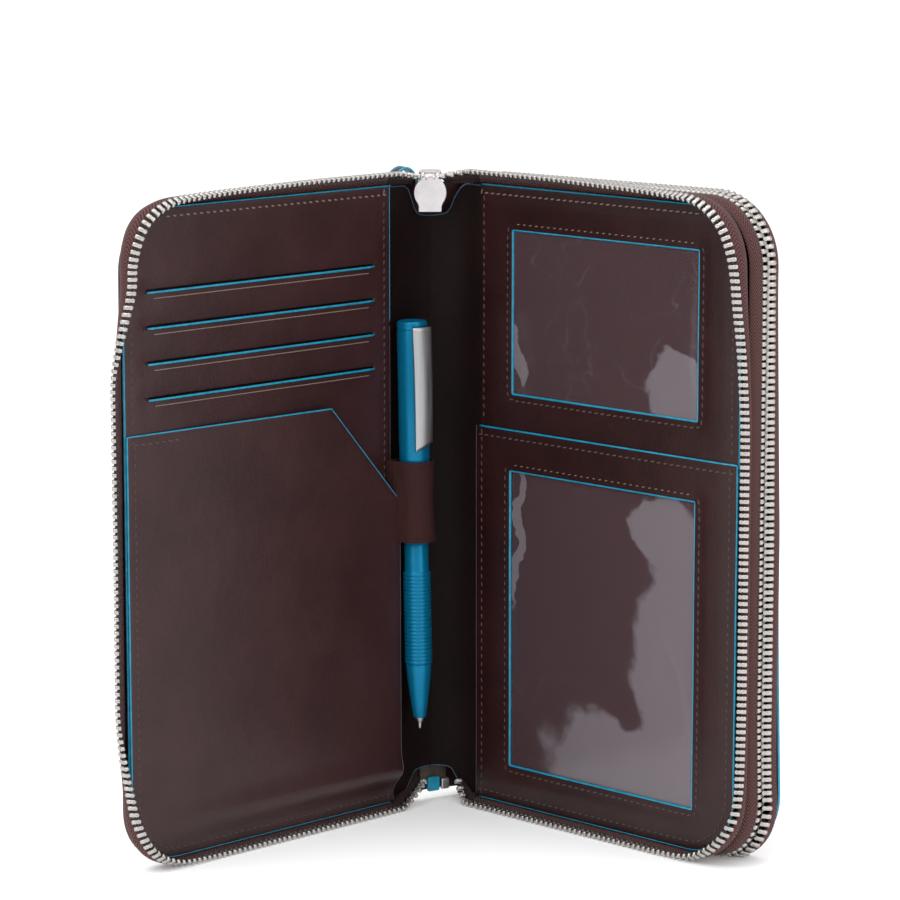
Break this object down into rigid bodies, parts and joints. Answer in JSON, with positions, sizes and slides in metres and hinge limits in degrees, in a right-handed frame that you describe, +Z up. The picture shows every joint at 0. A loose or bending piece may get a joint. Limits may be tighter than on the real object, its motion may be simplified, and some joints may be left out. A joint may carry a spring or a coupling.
{
  "type": "passport holder",
  "caption": "Zip-around leather travel wallet standing open, with card slots, a passport pocket, windowed pockets, a second zipped compartment and a pen in its loop.",
  "frame": {"origin": "bottom centre of the bounding box at rest, on the surface it stands on", "axes": "+Z up the height of the pages, +X along the middle wall from the spine, -Y along the open front cover"},
  "size_m": [0.1382, 0.1604, 0.2149],
  "materials": {
    "leather": "polished smooth grain",
    "lining": "smooth",
    "edge_paint": "painted edge",
    "tape": "woven zip tape",
    "zip_metal": "bright",
    "clear_film": "clear",
    "board": "pressed board",
    "elastic": "ribbed elastic",
    "pen_metal": "satin turquoise",
    "satin_steel": "satin"
  },
  "bodies": {
    "middle_wall": {"middle_stiffener": "board", "middle_page_backing": "lining", "upper_window_panel": "leather", "upper_window_film": "clear_film", "lower_window_pocket": "leather", "lower_window_film": "clear_film", "middle_zip_tape": "tape", "middle_zip_teeth": "zip_metal", "middle_rear_lining": "lining", "rear_zip_inner_tape": "tape", "rear_zip_inner_teeth": "zip_metal", "rear_gusset_leather": "leather", "rear_gusset_lining": "lining", "rear_zip_end_tape": "tape", "zip_slider_rear": "zip_metal", "zip_slider_rear_pin": "zip_metal"},
    "back_cover": {"back_cover_leather": "leather", "back_cover_stiffener": "board", "back_cover_lining": "lining", "boarding_pass_pocket": "leather", "back_zip_tape": "tape", "back_zip_teeth": "zip_metal"},
    "spine": {"spine_leather": "leather", "spine_stiffener": "board", "spine_lining": "lining", "zip_end_tab_bottom": "edge_paint", "zip_end_stop": "zip_metal", "zip_slider_front": "zip_metal", "zip_slider_front_pin": "zip_metal"},
    "front_cover": {"front_cover_leather": "leather", "front_cover_stiffener": "board", "front_page_backing": "lining", "card_pocket_linings": "lining", "card_panel": "leather", "card_slot_edges": "edge_paint", "passport_pocket": "leather", "front_zip_tape": "tape", "front_zip_teeth": "zip_metal", "pen_loop": "elastic", "zip_end_tab_top": "edge_paint"},
    "front_puller": {"zip_puller_front": "zip_metal"},
    "rear_puller": {"zip_puller_rear": "zip_metal"},
    "pen": {"pen_lower_barrel": "pen_metal", "pen_nose": "pen_metal"},
    "pen_cap": {"pen_upper_barrel": "pen_metal", "pen_crown": "pen_metal", "pen_clip": "satin_steel"},
    "refill": {"pen_refill": "satin_steel"}
  },
  "joints": [
    {"name": "spine_hinge", "type": "hinge", "parent": "middle_wall", "child": "spine", "pos_m": [-0.06047, 0.06323, 0.1028], "axis": [0, 0, 1], "range_deg": [-75, 15]},
    {"name": "front_cover_hinge", "type": "hinge", "parent": "spine", "child": "front_cover", "pos_m": [-0.0642, 0.04932, 0.1028], "axis": [0, 0, 1], "range_deg": [-15, 75]},
    {"name": "back_cover_hinge", "type": "hinge", "parent": "middle_wall", "child": "back_cover", "pos_m": [-0.06047, 0.07873, 0.1028], "axis": [0, 0, 1], "range_deg": [0, 110]},
    {"name": "front_puller_swing", "type": "hinge", "parent": "spine", "child": "front_puller", "pos_m": [-0.05932, 0.05176, 0.213], "axis": [-0.7071, -0.7071, 0], "range_deg": [-5, 115]},
    {"name": "rear_puller_swing", "type": "hinge", "parent": "middle_wall", "child": "rear_puller", "pos_m": [-0.06457, 0.07173, 0.0169], "axis": [0, 1, 0], "range_deg": [-3, 115]},
    {"name": "pen_slide", "type": "slide", "parent": "front_cover", "child": "pen", "axis": [0.0255, 0, -0.9997], "range_m": [-0.1, 0]},
    {"name": "pen_twist", "type": "hinge", "parent": "pen", "child": "pen_cap", "pos_m": [-0.0572, 0.04262, 0.1062], "axis": [-0.0255, 0, 0.9997], "range_deg": [-80, 0]},
    {"name": "refill_slide", "type": "slide", "parent": "pen", "child": "refill", "axis": [-0.0255, 0, 0.9997], "range_m": [0, 0.004]}
  ],
  "couplings": [
    {"joint": "refill_slide", "follows": "pen_twist", "m_per_rad": -0.0028648}
  ]
}
